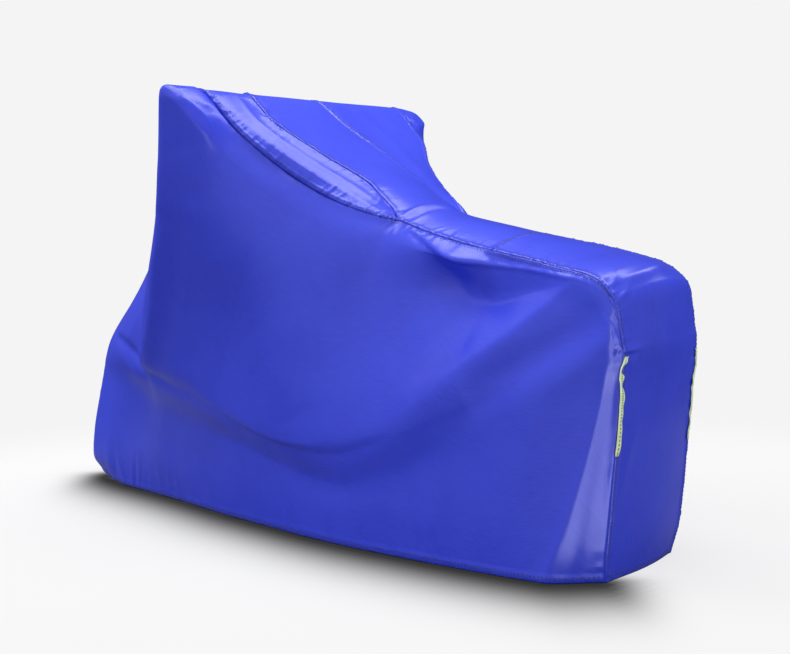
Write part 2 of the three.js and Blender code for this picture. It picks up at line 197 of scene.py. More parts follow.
# The foot of each side panel: where its wall would meet the floor, and how far the elastic draws it in.
hemHeight = 80  # the elastic draws in the cloth below this height
hemColumns = ["at", "x", "out", "up", "drawX", "drawIn"]
hemRows = {
    "left": readTable(hemColumns, [
        [0.0, -1016, 152, 20, 50, 10],
        [0.06, -985, 198, 18, 38, 26],
        [0.12, -900, 214, 8, 20, 18],
        [0.2, -768, 220, 0, 4, 4],
        [0.3, -570, 238, 0, 0, 2],
        [0.44, -212, 290, 0, 0, 2],
        [0.625, 195, 326, 0, 0, 3],
        [0.75, 425, 319, 0, 0, 3],
        [0.88, 655, 300, 0, 0, 3],
        [0.95, 768, 281, 0, 0, 3],
        [1.0, 862, 192, 0, 0, 2],
    ]),
    "right": readTable(hemColumns, [
        [0.0, -1016, 152, 20, 50, 10],
        [0.06, -985, 198, 18, 38, 26],
        [0.12, -900, 214, 8, 20, 18],
        [0.2, -768, 222, 0, 4, 6],
        [0.3, -570, 244, 0, 0, 6],
        [0.44, -212, 290, 0, 0, 6],
        [0.625, 195, 314, 0, 0, 6],
        [0.75, 425, 304, 0, 0, 8],
        [0.88, 645, 276, 0, -4, 12],
        [0.95, 755, 240, 0, -6, 12],
        [1.0, 838, 150, 0, -12, 6],
    ]),
}

# Broad folds across the ribs, in the side view: x, z, to x, to z, width, height.
foldTaper = 0.7  # how a fold dies away towards its ends
edgeFade = 0.5  # and towards the front and rear edges
broadFolds = {
    "left": [
        [-200, 960, 60, 300, 110, 16],
        [-290, 800, -330, 380, 90, -14],
        [-300, 780, -530, 340, 40, 20],
        [-430, 780, -660, 360, 48, -20],
        [870, 645, 340, 320, 60, 9],
        [890, 580, 380, 255, 52, -14],
        [905, 612, 540, 380, 46, -20],
    ],
    "right": [
        [-180, 940, 40, 330, 120, 14],
        [790, 590, 330, 300, 80, -14],
    ],
}
sideSign = {"left": -1, "right": 1}

# The levels of a side panel: the cells of its solid, which set each level's share of the way down, and the
# finer rows of the sheet here.
levelCells = {"edge": 1, "shoulder": 2, "hollow": 4, "belly": 6, "tuck": 3, "skirt": 4, "hem": 2}
levelRows = {"edge": 6, "shoulder": 12, "hollow": 22, "belly": 34, "tuck": 16, "skirt": 30, "hem": 12}
levels = np.cumsum([0, *levelCells.values()]) / sum(levelCells.values())
shoulderLevel = levels[2]
sideColumns = 320


def spineSeam(side, at):
    row = spine(at)
    sag = row["leftSag"] if side == "left" else 0
    return {"x": row["x"], "out": row[side], "z": row["z"] - sag}


def topEdge(side, at):
    return gussetRows[side](at) if at < gussetEnd else spineSeam(side, at)


def foldHeight(side, x, z):
    total = np.zeros_like(x)
    for fromX, fromZ, toX, toZ, width, height in broadFolds[side]:
        alongX, alongZ = toX - fromX, toZ - fromZ
        length = math.hypot(alongX, alongZ)
        share = ((x - fromX) * alongX + (z - fromZ) * alongZ) / length ** 2
        across = ((x - fromX) * alongZ - (z - fromZ) * alongX) / length / width
        total += height * np.sin(np.pi * np.clip(share, 0, 1)) ** foldTaper * np.exp(-across ** 2)
    return total


def sideRib(side, at, downs):  # points down one rib of a side panel, from its top edge to the hem
    top, rib, hem = topEdge(side, at), ribRows[side](at), hemRows[side](at)
    edgeZ = top["z"] - rib["edgeDrop"]
    shoulderZ = edgeZ - rib["shoulderDrop"]
    hollowZ = shoulderZ - rib["hollowDrop"]
    bellyZ, bellyX = rib["bellyUp"], rib["bellyX"]
    tuckZ = bellyZ - tuckDrop
    heights = [top["z"], edgeZ, shoulderZ, hollowZ, bellyZ, tuckZ, hemHeight, hem["up"]]

    def runAt(height):
        if height <= bellyZ:
            return mapLinear(height, bellyZ, 0, bellyX, hem["x"])
        share = max(0, top["z"] - height) / (top["z"] - bellyZ)
        return top["x"] + (bellyX - top["x"]) * share ** rib["swing"]

    runs = [runAt(height) for height in heights]
    runs[-1] += hem["drawX"]
    skirtOut = mapLinear(hemHeight, tuckZ, 0, rib["tuckOut"], hem["out"])
    outs = [top["out"], rib["edgeOut"], rib["shoulderOut"], rib["hollowOut"], rib["bellyOut"],
            rib["tuckOut"], skirtOut, hem["out"] - hem["drawIn"]]
    x, z, out = (monotone(levels, values)(downs) for values in (runs, heights, outs))
    fade = max(0, math.sin(math.pi * at)) ** edgeFade * smoothStep(downs, 0, shoulderLevel)
    out = out + foldHeight(side, x, z) * fade
    return np.stack([x, sideSign[side] * out, z], axis=-1)


def seamPoints(side, ats):  # a seam of the spine: down the front edge, along the top, down the rear edge
    points = []
    for at in ats:
        if 0 <= at <= 1:
            row = spineSeam(side, at)
            points.append([row["x"], sideSign[side] * row["out"], row["z"]])
        else:
            rib = 0 if at < 0 else 1
            points.append(sideRib(side, rib, np.array([abs(at - rib)]))[0])
    return np.array(points)


def spineOutward(ats):
    step = 0.01

    def middle(places):
        return seamPoints("left", places) + seamPoints("right", places)

    run = middle(np.minimum(ats + step, 2)) - middle(np.maximum(ats - step, -1))
    outward = np.stack([-run[:, 2], 0 * run[:, 0], run[:, 0]], axis=-1)
    return outward / np.linalg.norm(outward, axis=1, keepdims=True)


def sidePoints(side, ats, downs):
    return np.array([sideRib(side, at, downs) for at in ats])


def spinePoints(ats, shares):
    left, right = seamPoints("left", ats)[:, None], seamPoints("right", ats)[:, None]
    share = shares[None, :, None]
    rise = spineCrown(ats)["rise"][:, None, None] * 4 * share * (1 - share)
    return left + (right - left) * share + spineOutward(ats)[:, None] * rise


def gussetPoints(side, ats, downs):
    row = gussetRows[side](ats)
    upper = seamPoints(side, ats)[:, None]
    lower = np.stack([row["x"], sideSign[side] * row["out"], row["z"]], axis=-1)[:, None]
    down = downs[None, :, None]
    roll = row["roll"][:, None, None] * down * (1 - down ** gussetRoll["turn"]) / gussetRoll["peak"]
    way = np.array([gussetRoll["aft"], sideSign[side] * gussetRoll["out"], gussetRoll["up"]])
    return upper + (lower - upper) * down + roll * way


# Cloth sheets: a grid of points, its outward directions, and a relief that is added along them.

def turned(grid, edge):  # the grid seen from one edge, as [place along the edge, steps away from it]
    if edge in ("front", "rear"):
        grid = grid.swapaxes(0, 1)
    if edge in ("bottom", "rear"):
        grid = grid[:, ::-1]
    return grid


def edgeLengths(points, edge):  # mm along the edge, and mm away from it
    grid = turned(points, edge)
    along = np.concatenate([[0], np.cumsum(np.linalg.norm(np.diff(grid[:, 0], axis=0), axis=1))])
    steps = np.linalg.norm(np.diff(grid, axis=1), axis=2)
    away = np.concatenate([np.zeros((len(grid), 1)), np.cumsum(steps, axis=1)], axis=1)
    return along, away


def gridNormals(points, facing):
    normal = facing * np.cross(np.gradient(points, axis=0), np.gradient(points, axis=1))
    return normal / np.maximum(np.linalg.norm(normal, axis=2, keepdims=True), 1e-9)


def newSheet(points, ats, shares, facing):
    middle = points[:, points.shape[1] // 2]
    along = np.concatenate([[0], np.cumsum(np.linalg.norm(np.diff(middle, axis=0), axis=1))])
    return {
        "points": points,
        "ats": ats,
        "shares": shares,
        "facing": facing,
        "normals": gridNormals(points, facing),
        "relief": np.zeros(points.shape[:2]),
        "flat": np.stack([along[:, None] + 0 * points[:, :, 0], edgeLengths(points, "top")[1]], axis=-1),
    }


def sewnHold(sheet, edges, reach):  # 0 on the sewn edges, rising to 1 within the reach
    hold = np.ones_like(sheet["relief"])
    for edge in edges:
        away = edgeLengths(sheet["points"], edge)[1]
        view = turned(hold, edge)
        view *= 1 - np.exp(-(away / reach) ** 2)
    return hold


def placeOn(sheet, grid, at, share):  # reads a grid between its points
    i = np.interp(at, sheet["ats"], np.arange(len(sheet["ats"])))
    j = np.interp(share, sheet["shares"], np.arange(len(sheet["shares"])))
    i0 = np.minimum(i.astype(int), len(sheet["ats"]) - 2)
    j0 = np.minimum(j.astype(int), len(sheet["shares"]) - 2)
    u, v = (i - i0)[:, None], (j - j0)[:, None]
    near = grid[i0, j0] * (1 - v) + grid[i0, j0 + 1] * v
    far = grid[i0 + 1, j0] * (1 - v) + grid[i0 + 1, j0 + 1] * v
    return near * (1 - u) + far * u


def smoothPath(rows, steps=7):  # a smooth curve through the rows, in short straight lengths
    rows = np.array(rows, float)
    ends = np.vstack([2 * rows[0] - rows[1], rows, 2 * rows[-1] - rows[-2]])
    path = []
    for a, b, c, d in zip(ends, ends[1:], ends[2:], ends[3:]):
        for t in np.arange(steps) / steps:
            path.append(b + 0.5 * t * (c - a + t * (2 * a - 5 * b + 4 * c - d + t * (3 * (b - c) + d - a))))
    return np.array([*path, rows[-1]])


# A crease is a path of (at, share, height) with a width to the left and right of the way it runs,
# seen from outside. A positive height is a ridge and a negative one a trough.
creaseBlend = 6  # mm over which neighbouring lengths of a crease run into each other
creaseReach = 3  # widths from its path, past which it isn't felt


def addCrease(sheet, hold, path, left, right, round=1.7):
    way = smoothPath(path)
    line = placeOn(sheet, sheet["points"], way[:, 0], way[:, 1])
    reach = creaseReach * max(left, right)
    low, high = line.min(axis=0) - reach, line.max(axis=0) + reach
    inside = np.all((sheet["points"] > low) & (sheet["points"] < high), axis=2)
    points, normals = sheet["points"][inside], sheet["normals"][inside]
    gaps, heights, widths = [], [], []
    for a, b, heightA, heightB in zip(line, line[1:], way[:, 2], way[1:, 2]):
        run = b - a
        share = np.clip((points - a) @ run / max(run @ run, 1e-9), 0, 1)
        off = points - a - share[:, None] * run
        onLeft = np.einsum("ij,ij->i", np.cross(run, off), normals) > 0
        gaps.append(np.linalg.norm(off, axis=1))
        heights.append(heightA + (heightB - heightA) * share)
        widths.append(np.where(onLeft, left, right))
    nearest = np.min(gaps, axis=0)
    weight = np.exp((nearest - np.array(gaps)) / creaseBlend)
    height = np.average(heights, axis=0, weights=weight)
    width = np.average(widths, axis=0, weights=weight)
    sheet["relief"][inside] += height * np.exp(-(nearest / width) ** round) * hold[inside]


puckerSpread = {"pitch": (0.5, 1.5), "reach": (0.5, 1.6), "height": (-0.6, 1.0), "width": (0.75, 1.3)}


# Short pinches that run away from a seam, as a lockstitch gathers thin cloth.
def addPuckers(sheet, seed, edge, pitch, reach, height, width, slant=0.25, fromMm=0, toMm=None):
    rng = random.Random(seed)
    along, away = edgeLengths(sheet["points"], edge)
    relief = turned(sheet["relief"], edge)
    place = fromMm
    end = along[-1] if toMm is None else toMm
    while place < end:
        place += pitch * rng.uniform(*puckerSpread["pitch"])
        deep = reach * rng.uniform(*puckerSpread["reach"])
        tall = height * rng.uniform(*puckerSpread["height"])
        wide = width * rng.uniform(*puckerSpread["width"])
        lean = rng.uniform(-slant, slant)
        near = np.abs(along - place) < 4 * wide + slant * 3 * deep
        offset = (along[near][:, None] - place - lean * away[near]) / wide
        rise = away[near] / deep
        relief[near] += tall * np.exp(-offset ** 2) * rise * np.exp(1 - rise)


# The raised band of a felled seam or hem: doubled cloth that steps down at its inner edge.
def addBand(sheet, edge, width, height, step=3):
    away = edgeLengths(sheet["points"], edge)[1]
    relief = turned(sheet["relief"], edge)
    relief += height * smoothStep(away, 0, step) * (1 - smoothStep(away, width, width + step))


# Soft unevenness of the cloth between its folds.
def addCrinkle(sheet, hold, seed, size, height):
    place = sheet["flat"] / size
    cell = np.floor(place).astype(int)
    t = place - cell
    t = t * t * (3 - 2 * t)
    lattice = np.random.default_rng(seed).uniform(-1, 1, cell.max(axis=(0, 1)) + 2)
    i, j = cell[..., 0], cell[..., 1]
    u, v = t[..., 0], t[..., 1]
    near = lattice[i, j] * (1 - v) + lattice[i, j + 1] * v
    far = lattice[i + 1, j] * (1 - v) + lattice[i + 1, j + 1] * v
    sheet["relief"] += height * (near * (1 - u) + far * u) * hold


sewnReach = 10  # mm from a sewn edge within which the creases die away


# A sheet gets its creases, its crinkle, the pinches beside its seams and its raised bands.
def dressSheet(sheet, cloth, creases, seed, gather=1):
    hold = sewnHold(sheet, cloth["sewn"], sewnReach)
    for crease in creases.values():
        addCrease(sheet, hold, **crease)
    for crinkle in cloth["crinkles"]:
        addCrinkle(sheet, hold, seed, **crinkle)
        seed += 1
    for pucker in cloth["puckers"]:
        addPuckers(sheet, seed, **{**pucker, "height": pucker["height"] * gather})
        seed += 1
    for band in cloth["bands"]:
        addBand(sheet, **band)


clothThickness = 1.5  # mm, thicker than real taffeta, so that its edges show
weldGap = 0.02  # mm, closes the pointed ends of the gussets


def buildSheet(name, sheet, material):
    columns, rows = sheet["relief"].shape
    sheet["points"] = sheet["points"] + sheet["normals"] * sheet["relief"][..., None]
    sheet["normals"] = gridNormals(sheet["points"], sheet["facing"])
    places, flat = toFrame(sheet["points"]), sheet["flat"] * metresPerMm
    bm = bmesh.new()
    uvLayer = bm.loops.layers.uv.new("cloth")
    bmesh.ops.create_grid(bm, x_segments=columns - 1, y_segments=rows - 1, size=1)
    gridPlace = {}
    for vert in bm.verts:
        column, row = (vert.co.x + 1) / 2 * (columns - 1), (vert.co.y + 1) / 2 * (rows - 1)
        gridPlace[vert] = (round(column), round(row))
    for face in bm.faces:
        face.smooth = True
        for loop in face.loops:
            loop[uvLayer].uv = flat[gridPlace[loop.vert]]
    for vert, place in gridPlace.items():
        vert.co = places[place]
    if sheet["facing"] < 0:
        bmesh.ops.reverse_faces(bm, faces=bm.faces[:])
    bmesh.ops.remove_doubles(bm, verts=bm.verts[:], dist=weldGap * metresPerMm)
    return finishPiece(name, bm, material, clothThickness)


def meshObject(name, bm, material):
    mesh = bpy.data.meshes.new(name)
    bm.to_mesh(mesh)
    bm.free()
    mesh.materials.append(material)
    made = bpy.data.objects.new(name, mesh)
    bpy.context.collection.objects.link(made)
    return made


def finishPiece(name, bm, material, thickness=0):
    piece = meshObject(name, bm, material)
    if thickness:
        solidify = piece.modifiers.new("thickness", "SOLIDIFY")
        solidify.thickness = thickness * metresPerMm
        solidify.offset = -1
    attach(piece, "root")
    print("  made", name, len(piece.data.polygons), "faces")
    return piece


def clustered(count, strength=0.5):  # shares from 0 to 1, closer together at both ends
    t = np.linspace(0, 1, count + 1)
    return t - strength * np.sin(2 * np.pi * t) / (2 * np.pi)


# Materials

def hexColor(code):
    channels = [int(code[k:k + 2], 16) / 255 for k in (0, 2, 4)]
    return [c / 12.92 if c <= 0.04045 else ((c + 0.055) / 1.055) ** 2.4 for c in channels] + [1]


def addNode(tree, kind, inputs=None, **settings):
    node = tree.nodes.new(kind)
    for name, value in settings.items():
        setattr(node, name, value)
    for name, value in (inputs or {}).items():
        if isinstance(value, bpy.types.NodeSocket):
            tree.links.new(value, node.inputs[name])
        else:
            node.inputs[name].default_value = value
    return node


def addMath(tree, operation, *values):
    return addNode(tree, "ShaderNodeMath", dict(enumerate(values)), operation=operation).outputs[0]


def newMaterial(name):
    material = bpy.data.materials.new(name)
    material.use_nodes = True
    tree = material.node_tree
    tree.nodes.clear()
    return material, tree


waveRepeat = 0.314  # a Wave texture repeats every 0.314 / scale
polymerIor = 1.5  # polyester, its coat and glass beads

taffetaLook = {
    "deepBlue": ("2B3BD6", 0.32),  # colours with their places on the mottle's ramp
    "blue": ("3042E1", 0.5),
    "paleBlue": ("3447E6", 0.68),
    "roughness": 0.26,
    "threadMm": 1.6,  # real threads are 0.25 mm apart, drawn coarser so that the weave shows close up
    "weaveDepthMm": 0.02,
    "weaveStrength": 0.5,
    "slubMm": 4,
    "slubLength": 10,  # times its width
    "patchMm": 160,
    "detail": 3,
}


# Polyester taffeta with a thin polyurethane coat: a fine plain weave with a satin, slightly lavender shine.
def coatedTaffeta(look):
    material, tree = newMaterial("coatedPolyesterTaffeta")
    coords = addNode(tree, "ShaderNodeTexCoord")
    uv, place = coords.outputs["UV"], coords.outputs["Object"]
    patches = addNode(tree, "ShaderNodeTexNoise", {
        "Vector": place, "Scale": mmPerMetre / look["patchMm"], "Detail": look["detail"]})
    slubWay = addNode(tree, "ShaderNodeMapping", {"Vector": uv, "Scale": (1 / look["slubLength"], 1, 1)})
    slubs = addNode(tree, "ShaderNodeTexNoise", {
        "Vector": slubWay.outputs["Vector"], "Scale": mmPerMetre / look["slubMm"], "Detail": look["detail"]})
    mixed = addMath(tree, "ADD", patches.outputs["Fac"], slubs.outputs["Fac"])
    ramp = addNode(tree, "ShaderNodeValToRGB", {"Fac": addMath(tree, "MULTIPLY", mixed, 0.5)})
    stops = ramp.color_ramp.elements
    stops.new(look["blue"][1])
    for stop, name in zip(stops, ("deepBlue", "blue", "paleBlue")):
        code, stop.position = look[name]
        stop.color = hexColor(code)
    waveScale = waveRepeat / (look["threadMm"] * metresPerMm)
    warp = addNode(tree, "ShaderNodeTexWave", {"Vector": uv, "Scale": waveScale}, bands_direction="X")
    weft = addNode(tree, "ShaderNodeTexWave", {"Vector": uv, "Scale": waveScale}, bands_direction="Y")
    weave = addMath(tree, "MAXIMUM", warp.outputs["Fac"], weft.outputs["Fac"])
    bump = addNode(tree, "ShaderNodeBump", {
        "Height": weave, "Strength": look["weaveStrength"],
        "Distance": look["weaveDepthMm"] * metresPerMm})
    shader = addNode(tree, "ShaderNodeBsdfPrincipled", {
        "Base Color": ramp.outputs["Color"], "Roughness": look["roughness"], "Normal": bump.outputs["Normal"],
        "IOR": polymerIor})
    addNode(tree, "ShaderNodeOutputMaterial", {"Surface": shader.outputs["BSDF"]})
    return material


tapeLook = {
    "lime": "F0FFD6",
    "green": "74AC66",
    "stripeShare": 0.22,
    "dashes": 38,  # along the tape
    "dashShare": 0.65,
    # dark edges: the tape's edge stitching together with painted shade where its edges lift off the cloth
    "rim": "1E2C30",
    "rimShare": 0.09,
    "roughness": 0.38,
    "beadMm": 1.2,  # real glass beads are 0.05 mm, drawn coarser so that they show
    "beadDepthMm": 0.1,
    "beadStrength": 0.3,
}


# Retroreflective tape: pale yellow-green glass beads with a dashed darker stripe, and dark edges that stand
# for both its edge stitching and painted shade along its edges.
def retroreflectiveTape(look):
    material, tree = newMaterial("retroreflectiveTape")
    coords = addNode(tree, "ShaderNodeTexCoord")
    across = addNode(tree, "ShaderNodeSeparateXYZ", {"Vector": coords.outputs["UV"]})
    centred = addMath(tree, "SUBTRACT", across.outputs["Y"], 0.5)
    distance = addMath(tree, "ABSOLUTE", centred)  # from the middle of the tape
    inStripe = addMath(tree, "LESS_THAN", distance, look["stripeShare"] / 2)
    # the band of edge stitching and painted shade along both edges
    onEdgeStitchAndShade = addMath(tree, "GREATER_THAN", distance, 0.5 - look["rimShare"])
    dash = addMath(tree, "FRACT", addMath(tree, "MULTIPLY", across.outputs["X"], look["dashes"]))
    onDash = addMath(tree, "MULTIPLY", addMath(tree, "LESS_THAN", dash, look["dashShare"]), inStripe)
    beads = addNode(tree, "ShaderNodeTexVoronoi", {
        "Vector": coords.outputs["Object"], "Scale": mmPerMetre / look["beadMm"]})
    striped = addNode(tree, "ShaderNodeMixRGB", {
        "Fac": onDash, "Color1": hexColor(look["lime"]), "Color2": hexColor(look["green"])})
    color = addNode(tree, "ShaderNodeMixRGB", {
        "Fac": onEdgeStitchAndShade, "Color1": striped.outputs["Color"], "Color2": hexColor(look["rim"])})
    bump = addNode(tree, "ShaderNodeBump", {
        "Height": beads.outputs["Distance"], "Strength": look["beadStrength"],
        "Distance": look["beadDepthMm"] * metresPerMm})
    shader = addNode(tree, "ShaderNodeBsdfPrincipled", {
        "Base Color": color.outputs["Color"], "Roughness": look["roughness"], "IOR": polymerIor,
        "Normal": bump.outputs["Normal"]})
    addNode(tree, "ShaderNodeOutputMaterial", {"Surface": shader.outputs["BSDF"]})
    return material


threadLook = {"navy": "12164A", "lightNavy": "1C2266", "twistMm": 0.8, "roughness": 0.55, "sheen": 0.2}


# Polyester sewing thread: navy, softly shiny, with its twist as fine slanting bands.
def polyesterThread(look):
    material, tree = newMaterial("polyesterThread")
    coords = addNode(tree, "ShaderNodeTexCoord")
    twist = addNode(tree, "ShaderNodeTexWave", {
        "Vector": coords.outputs["Object"], "Scale": waveRepeat / (look["twistMm"] * metresPerMm)},
        bands_direction="DIAGONAL")
    color = addNode(tree, "ShaderNodeMixRGB", {
        "Fac": twist.outputs["Fac"], "Color1": hexColor(look["navy"]), "Color2": hexColor(look["lightNavy"])})
    shader = addNode(tree, "ShaderNodeBsdfPrincipled", {
        "Base Color": color.outputs["Color"], "Roughness": look["roughness"], "IOR": polymerIor,
        "Sheen Weight": look["sheen"]})
    addNode(tree, "ShaderNodeOutputMaterial", {"Surface": shader.outputs["BSDF"]})
    return material


taffeta = coatedTaffeta(taffetaLook)
tape = retroreflectiveTape(tapeLook)
thread = polyesterThread(threadLook)
print("materials made")

# Side panels
sideShares = np.concatenate([
    np.linspace(low, high, rows, endpoint=False)
    for low, high, rows in zip(levels, levels[1:], levelRows.values())] + [[1.0]])
sideStations = np.linspace(0, 1, sideColumns + 1)

leftPanelCreases = {
    "seat lip": dict(left=26, right=6, path=[
        (0.655, 0.028, 0), (0.675, 0.045, 4), (0.71, 0.082, 7), (0.735, 0.115, 9.5), (0.753, 0.13, 9.5),
        (0.768, 0.138, 8), (0.79, 0.138, 4), (0.81, 0.136, 0)]),
    "seat lip to the rear": dict(left=8, right=6, path=[
        (0.785, 0.138, 0), (0.81, 0.138, 3), (0.84, 0.135, 3), (0.875, 0.132, 3), (0.918, 0.122, 2.5),
        (0.958, 0.105, 0)]),
    "valley under the lip": dict(left=44, right=60, round=1.3, path=[
        (0.665, 0.04, 0), (0.685, 0.08, -5), (0.705, 0.14, -12), (0.72, 0.202, -20), (0.74, 0.278, -26),
        (0.765, 0.335, -27), (0.795, 0.35, -22), (0.828, 0.355, -16), (0.868, 0.34, -10), (0.91, 0.252, -5),
        (0.94, 0.18, 0)]),
    "apex wrinkle": dict(left=10, right=14, path=[
        (0.618, 0.03, 0), (0.625, 0.07, 1.2), (0.63, 0.14, 1.6), (0.632, 0.22, 1.2), (0.635, 0.32, 0)]),
    "swag tuck": dict(left=14, right=52, round=1.4, path=[
        (0.155, 0.535, 0), (0.285, 0.568, -5), (0.37, 0.582, -7), (0.428, 0.605, -9), (0.475, 0.622, -10),
        (0.525, 0.62, -10), (0.6, 0.605, -9), (0.668, 0.592, -6), (0.73, 0.587, 0)]),
    "swag crinkle": dict(left=6, right=8, path=[
        (0.46, 0.6, 0), (0.5, 0.606, 2.5), (0.53, 0.6, 3), (0.57, 0.588, 2), (0.6, 0.58, 0)]),
    "front ridge": dict(left=34, right=8, round=1.3, path=[
        (0.305, 0.36, 0), (0.305, 0.395, 4), (0.302, 0.415, 7), (0.305, 0.442, 9), (0.305, 0.48, 10),
        (0.3, 0.515, 10), (0.288, 0.568, 8), (0.28, 0.6, 0)]),
    "front tuck": dict(left=8, right=22, round=1.3, path=[
        (0.14, 0.52, 0), (0.155, 0.535, -6), (0.2, 0.55, -8), (0.25, 0.562, -9), (0.288, 0.575, -9),
        (0.33, 0.585, -5), (0.37, 0.59, 0)]),
    "handle ridge": dict(left=7, right=12, round=1.4, path=[
        (0.305, 0.15, 0), (0.312, 0.135, 1.5), (0.318, 0.115, 2.5), (0.322, 0.088, 3), (0.328, 0.068, 3),
        (0.335, 0.06, 2.5), (0.345, 0.07, 0)]),
    "handle dimple": dict(left=9, right=9, path=[
        (0.285, 0.13, 0), (0.3, 0.125, -1.5), (0.315, 0.12, 0)]),
    "handle top streak": dict(left=7, right=7, path=[
        (0.318, 0.075, 0), (0.315, 0.05, 4), (0.312, 0.028, 4), (0.31, 0.012, 0)]),
    "rear diagonal": dict(left=30, right=60, round=1.3, path=[
        (0.938, 0.12, 0), (0.925, 0.205, 7), (0.905, 0.342, 11), (0.888, 0.405, 11), (0.855, 0.462, 9),
        (0.81, 0.49, 6), (0.782, 0.518, 5), (0.76, 0.535, 4), (0.728, 0.552, 2), (0.698, 0.558, 0)]),
    "rear second fold": dict(left=34, right=70, round=1.4, path=[
        (0.955, 0.54, 0), (0.94, 0.546, 2), (0.924, 0.56, 2.5), (0.915, 0.6, 2.5), (0.905, 0.66, 2),
        (0.895, 0.72, 0)]),
    "facet top": dict(left=11, right=50, round=1.3, path=[
        (0.995, 0.1, 0), (0.988, 0.175, 4), (0.976, 0.32, 8), (0.962, 0.445, 10), (0.95, 0.5, 10),
        (0.94, 0.555, 7), (0.94, 0.605, 0)]),
    "facet edge": dict(left=50, right=14, round=1.3, path=[
        (0.942, 0.57, 0), (0.942, 0.61, 4), (0.942, 0.668, 5), (0.946, 0.738, 5), (0.952, 0.79, 5),
        (0.955, 0.83, 5), (0.955, 0.872, 5), (0.952, 0.925, 5), (0.945, 1.0, 4)]),
    "facet hollow": dict(left=34, right=44, path=[
        (0.97, 0.6, 0), (0.975, 0.7, -3), (0.978, 0.8, -4), (0.98, 0.87, -3), (0.982, 0.94, -1),
        (0.983, 0.99, 0)]),
    "pinch": dict(left=6, right=7, round=1.3, path=[
        (0.945, 0.605, 0), (0.955, 0.595, -2), (0.966, 0.583, -5), (0.98, 0.567, -7), (0.992, 0.553, -5),
        (1.0, 0.545, 0)]),
    "pinch tuck": dict(left=7, right=5, path=[
        (0.965, 0.55, 0), (0.975, 0.54, 3), (0.988, 0.53, 4), (1.0, 0.525, 3)]),
}
rightPanelCreases = {
    "seat lip": dict(left=10, right=30, path=[
        (0.66, 0.04, 0), (0.72, 0.1, 6), (0.78, 0.13, 7), (0.86, 0.125, 5), (0.95, 0.1, 0)]),
    "swag tuck": dict(left=45, right=18, path=[
        (0.13, 0.59, 0), (0.24, 0.6, -6), (0.42, 0.605, -9), (0.58, 0.615, -8), (0.72, 0.62, -4),
        (0.82, 0.62, 0)]),
    "rear diagonal": dict(left=16, right=18, path=[
        (0.96, 0.12, 0), (0.92, 0.34, 6), (0.87, 0.44, 5), (0.81, 0.48, 0)]),
    "handle ridge": dict(left=14, right=12, path=[
        (0.285, 0.15, 0), (0.305, 0.138, 5), (0.325, 0.1, 6), (0.345, 0.03, 0)]),
}
handleEnd = {"fromMm": 620, "toMm": 800}  # along the top edge
seatStart = 1330  # where the seat seam begins on it
frontWheel = {"toMm": 260}  # along the hem, gathered there
sidePanelCloth = {
    "sewn": ["top", "front", "rear"],
    "crinkles": [dict(size=240, height=1.6), dict(size=80, height=0.5)],
    "puckers": [
        dict(edge="top", pitch=18, reach=11, height=0.8, width=6),
        dict(edge="rear", pitch=13, reach=6, height=1.8, width=5),
        dict(edge="front", pitch=24, reach=16, height=1.6, width=10),
        dict(edge="bottom", pitch=30, reach=22, height=1.4, width=11),
        dict(edge="bottom", pitch=14, reach=22, height=2.4, width=9, **frontWheel),
        dict(edge="top", pitch=13, reach=20, height=4, width=7, **handleEnd),
        dict(edge="top", pitch=13, reach=6, height=2.4, width=6, slant=0.8, fromMm=seatStart),
    ],
    "bands": [dict(edge="bottom", width=15, height=1.2)],
}


def makeSidePanel(side, creases, seed):
    sheet = newSheet(sidePoints(side, sideStations, sideShares), sideStations, sideShares, sideSign[side])
    dressSheet(sheet, sidePanelCloth, creases, seed)
    return sheet


leftPanelSheet = makeSidePanel("left", leftPanelCreases, 100)
rightPanelSheet = makeSidePanel("right", rightPanelCreases, 200)
leftPanel = buildSheet("leftPanel", leftPanelSheet, taffeta)
rightPanel = buildSheet("rightPanel", rightPanelSheet, taffeta)
print("side panels made")

# The spine strip, in two lengths
spineCells = {"along": 500, "across": 40}
spineShares = clustered(spineCells["across"])
topStations = np.linspace(0, 1, spineCells["along"] + 1)
# The front wall takes every other row of the side panels, the rear wall all of them.
frontStations = np.concatenate([-sideShares[:0:-2], topStations[topStations <= crossSeam]])
rearStations = np.concatenate([topStations[topStations >= crossSeam], 1 + sideShares[1:]])

spineFrontCreases = {
    "slope foot roll": dict(left=10, right=34, path=[
        (0.615, 0.02, 0), (0.612, 0.15, 7), (0.61, 0.4, 12), (0.612, 0.7, 10), (0.616, 0.95, 0)]),
    "slope foot fold": dict(left=22, right=9, path=[
        (0.632, 0.01, 0), (0.633, 0.15, -7), (0.634, 0.45, -10), (0.636, 0.75, -8), (0.634, 0.98, 0)]),
}
spineRearCreases = {
    "rear top edge": dict(left=12, right=20, path=[
        (0.985, 0.06, 0), (0.985, 0.3, 4), (0.98, 0.6, 4), (0.97, 0.9, 0)]),
    "corner wrinkle": dict(left=6, right=7, path=[
        (0.99, 0.02, 0), (0.985, 0.08, 3), (0.975, 0.16, 3), (0.965, 0.24, 0)]),
    "second corner wrinkle": dict(left=6, right=7, path=[
        (1.03, 0.02, 0), (1.01, 0.07, 4), (0.998, 0.13, 4), (0.99, 0.2, 0)]),
    "pinch ridge": dict(left=6, right=6, path=[
        (1.545, 0.0, 5), (1.54, 0.05, 6), (1.53, 0.1, 4), (1.51, 0.16, 0)]),
    "pinch trough": dict(left=6, right=8, path=[
        (1.575, 0.0, -5), (1.57, 0.05, -6), (1.565, 0.1, -3), (1.57, 0.16, 0)]),
    "tape wrinkle": dict(left=7, right=9, path=[
        (1.6, 0.12, 0), (1.63, 0.1, 3), (1.66, 0.085, 3), (1.7, 0.08, 0)]),
    "fold below the tape": dict(left=10, right=12, path=[
        (1.86, 0.03, 0), (1.83, 0.1, 3), (1.79, 0.17, 3), (1.76, 0.24, 0)]),
}


